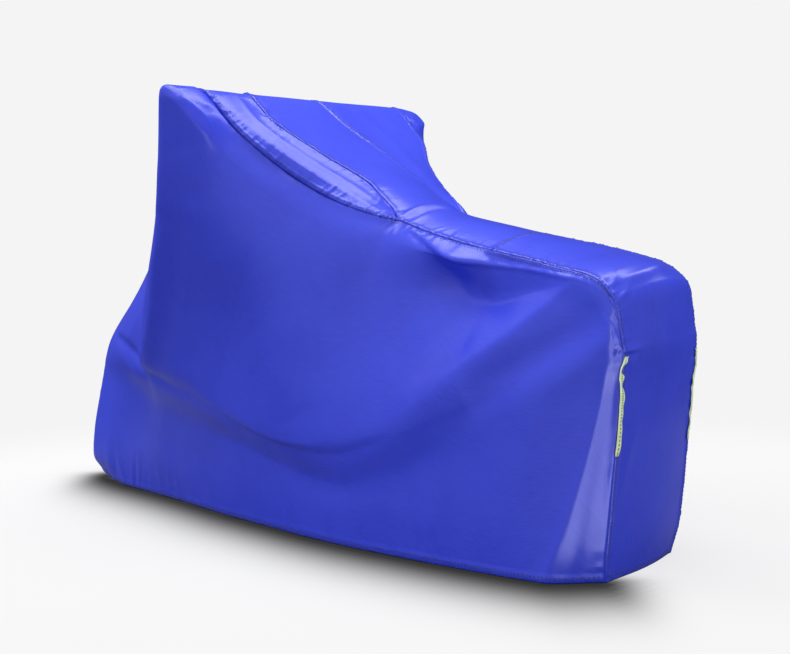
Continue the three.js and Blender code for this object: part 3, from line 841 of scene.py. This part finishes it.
def spineCloth(crossEdge):  # crossEdge is the end at the cross seam
    fine = dict(pitch=13, reach=8, height=2, width=4.5, slant=0.5)
    broad = dict(pitch=36, reach=12, height=0.9, width=8)
    cross = dict(pitch=12, reach=8, height=1.4, width=5)
    return {
        "sewn": ["top", "bottom", crossEdge],
        "crinkles": [dict(size=200, height=1.4), dict(size=70, height=0.5)],
        "puckers": [
            dict(edge="top", **fine),
            dict(edge="bottom", **fine),
            dict(edge="top", **broad),
            dict(edge="bottom", **broad),
            dict(edge=crossEdge, **cross),
        ],
        "bands": [dict(edge=edge, width=11, height=1.8) for edge in ("top", "bottom")],
    }


def makeSpine(stations, creases, crossEdge, seed):
    sheet = newSheet(spinePoints(stations, spineShares), stations, spineShares, 1)
    dressSheet(sheet, spineCloth(crossEdge), creases, seed)
    return sheet


spineFrontSheet = makeSpine(frontStations, spineFrontCreases, "rear", 300)
spineRearSheet = makeSpine(rearStations, spineRearCreases, "front", 400)
spineFront = buildSheet("spineFront", spineFrontSheet, taffeta)
spineRear = buildSheet("spineRear", spineRearSheet, taffeta)
print("spine made")

# Shoulder gussets
gussetCells = {"along": 380, "across": 48}
gussetShares = clustered(gussetCells["across"])
gussetStations = np.linspace(0, gussetEnd, gussetCells["along"] + 1)
leftGussetCreases = {
    "upper streak": dict(left=12, right=14, path=[
        (0.3, 0.3, 0), (0.36, 0.34, 1.5), (0.44, 0.36, 2), (0.52, 0.34, 1.5), (0.59, 0.3, 0)]),
    "roll": dict(left=24, right=8, round=1.5, path=[
        (0.33, 0.71, 0), (0.38, 0.68, 2), (0.45, 0.67, 3), (0.53, 0.67, 3), (0.59, 0.66, 0)]),
}
rightGussetCreases = {
    "upper streak": dict(left=30, right=30, path=[
        (0.28, 0.35, 0), (0.38, 0.4, 2), (0.5, 0.4, 2), (0.58, 0.35, 0)]),
}
gussetCloth = {
    "sewn": ["top", "bottom"],
    "crinkles": [dict(size=120, height=1.2)],
    "puckers": [
        dict(edge="top", pitch=15, reach=6, height=3.4, width=5, slant=0.5),
        dict(edge="bottom", pitch=9, reach=9, height=3.4, width=4),
        dict(edge="bottom", pitch=26, reach=16, height=1.6, width=8),
    ],
    "bands": [dict(edge="bottom", width=13, height=1.8)],
}
gather = {"left": 1, "right": 0.35}  # the right gusset is pulled tighter


def makeGusset(side, creases, seed):
    points = gussetPoints(side, gussetStations, gussetShares)
    sheet = newSheet(points, gussetStations, gussetShares, sideSign[side])
    dressSheet(sheet, gussetCloth, creases, seed, gather[side])
    sheet["relief"][[0, -1]] = 0  # its pointed ends stay closed
    return sheet


leftGussetSheet = makeGusset("left", leftGussetCreases, 500)
rightGussetSheet = makeGusset("right", rightGussetCreases, 600)
leftGusset = buildSheet("leftGusset", leftGussetSheet, taffeta)
rightGusset = buildSheet("rightGusset", rightGussetSheet, taffeta)
print("gussets made")

# Stitch rows, as grains of thread on the finished sheets
stitch = {
    "pitch": 9.5,
    "pitchSpread": (0.92, 1.08),
    "length": 6.5,
    "width": 2.2,
    "height": 1.5,
    "lift": 0.2,
    "wander": 0.6,
    "endGap": 10,
    "lookAhead": 2,  # mm along the row, for the way a stitch runs
    "seed": 700,
}
seamInsets, topInsets, hemInsets = (3, 9), (3, 8), (9, 13)  # mm from the edge to the two rows


# The point some way in from an edge, between two columns of a grid.
def pointInset(grid, away, column, inset):
    k = min(int(column), len(grid) - 2)
    u = column - k
    ends = [[np.interp(inset, away[c], grid[c][:, axis]) for axis in range(3)] for c in (k, k + 1)]
    return np.array(ends[0]) * (1 - u) + np.array(ends[1]) * u


def addStitches(bm, sheet, edge, insets, seed, fromMm=stitch["endGap"]):
    rng = random.Random(seed)
    along, away = edgeLengths(sheet["points"], edge)
    grid, normals = turned(sheet["points"], edge), turned(sheet["normals"], edge)
    for inset in insets:
        place = fromMm + rng.uniform(0, stitch["pitch"])
        while place < along[-1] - stitch["endGap"]:
            depth = inset + rng.uniform(-1, 1) * stitch["wander"]
            marks = [place, place + stitch["lookAhead"]]
            column, ahead = np.interp(marks, along, np.arange(len(along)))
            point = pointInset(grid, away, column, depth)
            run = Vector(pointInset(grid, away, ahead, depth) - point)
            up = Vector(pointInset(normals, away, column, depth)).normalized()
            if run.length > 0.01:  # not in the closed tip of a gusset
                run.normalize()
                side = up.cross(run).normalized()
                axes = run * stitch["length"] / 2, side * stitch["width"] / 2, up * stitch["height"] / 2
                matrix = (Matrix(axes).transposed() * metresPerMm).to_4x4()
                matrix.translation = Vector(toFrame(point)) + up * stitch["lift"] * metresPerMm
                bmesh.ops.create_icosphere(bm, subdivisions=1, radius=1, matrix=matrix)
            place += stitch["pitch"] * rng.uniform(*stitch["pitchSpread"])


stitchRows = {
    "leftPanelStitches": [
        (leftPanelSheet, "bottom", hemInsets),
        (leftPanelSheet, "top", topInsets, seatStart),
    ],
    "rightPanelStitches": [
        (rightPanelSheet, "bottom", hemInsets),
        (rightPanelSheet, "top", topInsets, seatStart),
    ],
    "spineFrontStitches": [
        (spineFrontSheet, "top", seamInsets),
        (spineFrontSheet, "bottom", seamInsets),
        (spineFrontSheet, "front", hemInsets),
        (spineFrontSheet, "rear", topInsets),
    ],
    "spineRearStitches": [
        (spineRearSheet, "top", seamInsets),
        (spineRearSheet, "bottom", seamInsets),
        (spineRearSheet, "rear", hemInsets),
    ],
    "leftGussetStitches": [(leftGussetSheet, "bottom", seamInsets)],
    "rightGussetStitches": [(rightGussetSheet, "bottom", seamInsets)],
}
for k, (name, rows) in enumerate(stitchRows.items()):
    bm = bmesh.new()
    for r, (sheet, edge, insets, *start) in enumerate(rows):
        addStitches(bm, sheet, edge, insets, stitch["seed"] + 10 * k + r, *start)
    finishPiece(name, bm, thread)
print("stitches made")

# Reflective tapes, sewn along the rear corner seams by one edge, so that they twist a little
tapeForm = {
    "top": 0.595,  # shares of the way down the rear wall
    "bottom": 0.81,
    "cells": (64, 6),
    "lift": 2.4,
    "crumple": 0.8,
    "waves": (31, 53),
    "thickness": 0.9,
    "seamWidth": 16,
}
tapeRows = {  # along the tape: its shift from the seam, its width, and how far its middle stands up
    "left": readTable(["along", "shift", "width", "rise"], [
        [0, 3, 16, 1], [0.14, -3, 13, 2], [0.26, -9, 4, 4], [0.33, -10, 16, 2], [0.43, -7, 9, 4],
        [0.55, -5, 17, 2], [0.72, -5, 14, 3], [0.88, -4, 17, 2], [1, -6, 16, 1]]),
    "right": readTable(["along", "shift", "width", "rise"], [
        [0, 1, 13, 1], [0.3, -2, 11, 3], [0.5, 1, 13, 2], [0.75, -1, 11, 3], [1, 1, 12, 1]]),
}


def makeTape(name, side, seed):
    rng = random.Random(seed)
    edge = "top" if side == "left" else "bottom"
    stations = spineRearSheet["ats"]
    inside = np.nonzero((stations - 1 >= tapeForm["top"]) & (stations - 1 <= tapeForm["bottom"]))[0]
    away = edgeLengths(spineRearSheet["points"], edge)[1]
    grid, normals = turned(spineRearSheet["points"], edge), turned(spineRearSheet["normals"], edge)
    phases = [rng.uniform(0, 2 * math.pi) for _ in range(2)]
    bm = bmesh.new()
    uvLayer = bm.loops.layers.uv.new("tape")
    cells = tapeForm["cells"]
    bmesh.ops.create_grid(bm, x_segments=cells[0], y_segments=cells[1], size=1)
    for face in bm.faces:
        face.smooth = True
        for loop in face.loops:
            loop[uvLayer].uv = ((loop.vert.co.x + 1) / 2, (loop.vert.co.y + 1) / 2)
    for vert in bm.verts:
        t, across = (vert.co.x + 1) / 2, (vert.co.y + 1) / 2
        column = inside[0] + t * (inside[-1] - inside[0])
        row = tapeRows[side](t)
        seam = pointInset(grid, away, column, 0)
        inner = pointInset(grid, away, column, tapeForm["seamWidth"])
        inward = (inner - seam) / np.linalg.norm(inner - seam)
        outward = pointInset(normals, away, column, tapeForm["seamWidth"] / 2)
        crumple = math.sin(tapeForm["waves"][0] * t + phases[0])
        crumple += math.sin(tapeForm["waves"][1] * t + 2 * across + phases[1])
        lift = tapeForm["lift"] + row["rise"] * math.sin(math.pi * across)
        lift += tapeForm["crumple"] * crumple * across
        vert.co = toFrame(seam + inward * (row["shift"] + across * row["width"]) + outward * lift)
    if side == "right":
        bmesh.ops.reverse_faces(bm, faces=bm.faces[:])
    return finishPiece(name, bm, tape, tapeForm["thickness"])


leftTape = makeTape("leftTape", "left", 800)
rightTape = makeTape("rightTape", "right", 810)
print("tapes made")

# The frame's parts that the cloth pieces stand for are hidden
for piece, node in ((leftPanel, "side_panel_left"), (rightPanel, "side_panel_right"),
                    (spineFront, "spine_front"), (spineRear, "spine_rear"),
                    (leftGusset, "gusset_left"), (rightGusset, "gusset_right"),
                    (leftTape, "reflective_strip_left"), (rightTape, "reflective_strip_right")):
    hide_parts(node)

# Studio: a pale floor that fades into the backdrop, softboxes above and behind the far side, a fill behind
# the tail and a light on the left that add soft light alone, and two panels near the tail that only show in
# its shine. Places are in metres in the frame.
studio = {
    "floorZ": -0.752,
    "floorRadius": 7.0,
    "floorFade": (1.7, 2.6),
    "floorSeen": "ECECEC",  # as the camera sees it
    "floorBounce": "868686",  # as it throws light back on the cover
    "floorGlow": 0.8,
    "backdrop": "F4F4F4",
    "dome": {"lean": (0.16, -0.4, 0.25), "near": (-0.3, 0.5, 0.12, 1.05), "height": (-0.25, 0.7, 0.5, 1.06)},
    "camera": {"at": (1.965, -2.56, 0), "tilt": 85.8, "turn": 42, "lens": 60.6, "sensor": 36},
}
lights = {
    "topSoftbox": {"at": (-0.375, 0.25, 2.3), "aim": (-0.375, 0.25, 0), "size": (1.75, 1.9), "watts": 38},
    "frontPanel": {
        "at": (1.07, -0.72, -0.16), "aim": (0.4, -0.2, -0.16), "size": (0.44, 1.16), "watts": 4.5,
        "shineOnly": True,
    },
    "rearSoftbox": {"at": (0.55, 2.35, 2.85), "aim": (0.1, 0, 0), "size": (0.9, 2.3), "watts": 22},
    "rearFill": {
        "at": (2.6, 3.2, 0), "aim": (0.4, 0, -0.3), "size": (4.0, 3.0), "watts": 62,
        "softOnly": True,
    },
    "floorKicker": {
        "at": (1.1, -0.8, -0.74), "aim": (1.1, -0.8, 0), "size": (1.1, 0.9), "watts": 11,
        "shineOnly": True,
    },
    "leftPanelLight": {
        "at": (-3.0, -0.9, 1.9), "aim": (-0.6, 0, -0.1), "size": (2.0, 1.6), "watts": 70,
        "softOnly": True,
    },
}


def makeFloor():
    material, tree = newMaterial("studioFloor")
    coords = addNode(tree, "ShaderNodeTexCoord")
    radius = addNode(tree, "ShaderNodeVectorMath", {0: coords.outputs["Object"]}, operation="LENGTH")
    near, far = studio["floorFade"]
    fade = addNode(tree, "ShaderNodeMapRange", {
        "Value": radius.outputs["Value"], "From Min": near, "From Max": far}, interpolation_type="SMOOTHSTEP")
    rays = addNode(tree, "ShaderNodeLightPath")
    color = addNode(tree, "ShaderNodeMixRGB", {
        "Fac": rays.outputs["Is Camera Ray"], "Color1": hexColor(studio["floorBounce"]),
        "Color2": hexColor(studio["floorSeen"])})
    matt = addNode(tree, "ShaderNodeBsdfDiffuse", {"Color": color.outputs["Color"]})
    glow = addNode(tree, "ShaderNodeEmission", {"Color": hexColor(studio["backdrop"])})
    level = addMath(tree, "MULTIPLY", rays.outputs["Is Camera Ray"], studio["floorGlow"])
    pale = addNode(tree, "ShaderNodeMixShader", {
        0: level, 1: matt.outputs["BSDF"], 2: glow.outputs["Emission"]})
    clear = addNode(tree, "ShaderNodeBsdfTransparent")
    mix = addNode(tree, "ShaderNodeMixShader", {
        0: fade.outputs["Result"], 1: pale.outputs["Shader"], 2: clear.outputs["BSDF"]})
    addNode(tree, "ShaderNodeOutputMaterial", {"Surface": mix.outputs["Shader"]})
    bm = bmesh.new()
    bmesh.ops.create_circle(bm, cap_ends=True, segments=96, radius=studio["floorRadius"])
    bmesh.ops.translate(bm, verts=bm.verts[:], vec=(0, 0, studio["floorZ"]))
    meshObject("floor", bm, material)


# The cover's shadow, soft and deepest along the near hem, as a patch that only the camera sees.
contactShadow = {
    "towards": (0.67, -0.74),  # the way it spreads over the floor
    "reach": 0.23,
    "sideReach": 0.075,
    "behind": 0.05,
    "depth": 0.97,
    "step": 0.025,
    "margin": 0.5,
    "lift": 0.001,
    "color": "0A0A0A",
}


def makeContactShadow(hem):
    form = contactShadow
    towards = np.array(form["towards"])
    sideways = np.array([-towards[1], towards[0]])
    low, high = hem.min(axis=0) - form["margin"], hem.max(axis=0) + form["margin"]
    columns, rows = ((high - low) / form["step"]).astype(int)
    bm = bmesh.new()
    uvLayer = bm.loops.layers.uv.new("density")
    bmesh.ops.create_grid(bm, x_segments=columns, y_segments=rows, size=1)
    density = {}
    for vert in bm.verts:
        spot = low + (high - low) * (np.array(vert.co[:2]) + 1) / 2
        along, aside = (spot - hem) @ towards, (spot - hem) @ sideways
        reach = np.where(along > 0, form["reach"], form["behind"])
        density[vert] = np.exp(-(along / reach) ** 2 - (aside / form["sideReach"]) ** 2).max()
        vert.co = (*spot, studio["floorZ"] + form["lift"])
    for face in bm.faces:
        for loop in face.loops:
            loop[uvLayer].uv = (density[loop.vert], 0)
    material, tree = newMaterial("contactShadow")
    coords = addNode(tree, "ShaderNodeTexCoord")
    dense = addNode(tree, "ShaderNodeSeparateXYZ", {"Vector": coords.outputs["UV"]})
    rays = addNode(tree, "ShaderNodeLightPath")
    deep = addMath(tree, "MULTIPLY", dense.outputs["X"], form["depth"])
    seen = addMath(tree, "MULTIPLY", deep, rays.outputs["Is Camera Ray"])
    clear = addNode(tree, "ShaderNodeBsdfTransparent")
    dark = addNode(tree, "ShaderNodeBsdfDiffuse", {"Color": hexColor(form["color"])})
    mix = addNode(tree, "ShaderNodeMixShader", {0: seen, 1: clear.outputs["BSDF"], 2: dark.outputs["BSDF"]})
    addNode(tree, "ShaderNodeOutputMaterial", {"Surface": mix.outputs["Shader"]})
    meshObject("contactShadow", bm, material)


def makeLight(name, form):
    light = bpy.data.lights.new(name, "AREA")
    light.shape = "RECTANGLE"
    light.size, light.size_y = form["size"]
    light.energy = form["watts"]
    lamp = bpy.data.objects.new(name, light)
    lamp.location = form["at"]
    lamp.visible_camera = False
    lamp.visible_diffuse = not form.get("shineOnly", False)
    lamp.visible_glossy = not form.get("softOnly", False)
    aim = Vector(form["aim"]) - Vector(form["at"])
    lamp.rotation_euler = aim.to_track_quat("-Z", "Y").to_euler()
    bpy.context.collection.objects.link(lamp)


def makeWorld():
    world = bpy.data.worlds.new("studio")
    bpy.context.scene.world = world
    world.use_nodes = True
    tree = world.node_tree
    tree.nodes.clear()
    rays = addNode(tree, "ShaderNodeLightPath")
    way = addNode(tree, "ShaderNodeTexCoord")
    form = studio["dome"]
    lean = addNode(tree, "ShaderNodeVectorMath", {0: way.outputs["Generated"], 1: form["lean"]},
                   operation="DOT_PRODUCT")
    up = addNode(tree, "ShaderNodeSeparateXYZ", {"Vector": way.outputs["Generated"]})
    limits = ["From Min", "From Max", "To Min", "To Max"]
    near = addNode(tree, "ShaderNodeMapRange", {
        "Value": lean.outputs["Value"], **dict(zip(limits, form["near"]))})
    height = addNode(tree, "ShaderNodeMapRange", {
        "Value": up.outputs["Z"], **dict(zip(limits, form["height"]))})
    dome = addMath(tree, "MULTIPLY", near.outputs["Result"], height.outputs["Result"])
    ambient = addNode(tree, "ShaderNodeBackground", {"Color": (1, 1, 1, 1), "Strength": dome})
    pale = addNode(tree, "ShaderNodeBackground", {"Color": hexColor(studio["backdrop"]), "Strength": 1})
    mix = addNode(tree, "ShaderNodeMixShader", {
        0: rays.outputs["Is Camera Ray"], 1: ambient.outputs[0], 2: pale.outputs[0]})
    addNode(tree, "ShaderNodeOutputWorld", {"Surface": mix.outputs["Shader"]})


def makeCamera(form):
    camera = bpy.data.cameras.new("camera")
    camera.sensor_width = form["sensor"]
    camera.lens = form["lens"]
    holder = bpy.data.objects.new("camera", camera)
    holder.location = form["at"]
    holder.rotation_euler = (math.radians(form["tilt"]), 0, math.radians(form["turn"]))
    bpy.context.collection.objects.link(holder)
    bpy.context.scene.camera = holder


makeFloor()
makeContactShadow(toFrame(leftPanelSheet["points"][:, -1])[::2, :2])  # every other point of the near hem
for name, form in lights.items():
    makeLight(name, form)
makeWorld()
makeCamera(studio["camera"])
bpy.context.scene.view_settings.view_transform = "Standard"
print("studio made")
